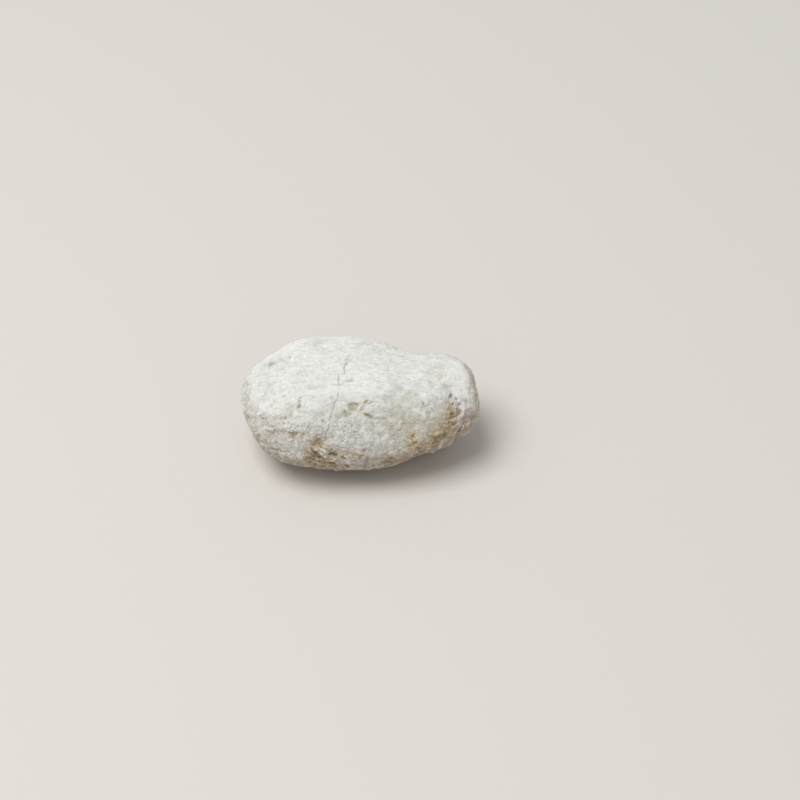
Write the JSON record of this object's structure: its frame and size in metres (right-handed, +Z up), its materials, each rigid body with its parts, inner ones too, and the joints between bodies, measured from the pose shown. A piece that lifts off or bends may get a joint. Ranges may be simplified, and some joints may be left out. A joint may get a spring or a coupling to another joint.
{
  "type": "calcite geode",
  "caption": "Whole, unbroken calcite geode: a chalky white, potato-shaped stone nodule that lies on a small flat spot.",
  "frame": {"origin": "middle of the stone's outline seen from above, on the surface it rests on", "axes": "+X along the stone towards its slimmer end, which has the stained crease; +Y to its back, the side with the waist; +Z up from the flat spot it rests on"},
  "size_m": [0.0668, 0.0402, 0.0307],
  "materials": {
    "chalky_limestone": "matt, chalky and finely pitted, off-white with grey mottling and tan clay in its hollows and along its lower edge"
  },
  "bodies": {
    "root": {"nodule": "chalky_limestone"}
  },
  "joints": []
}
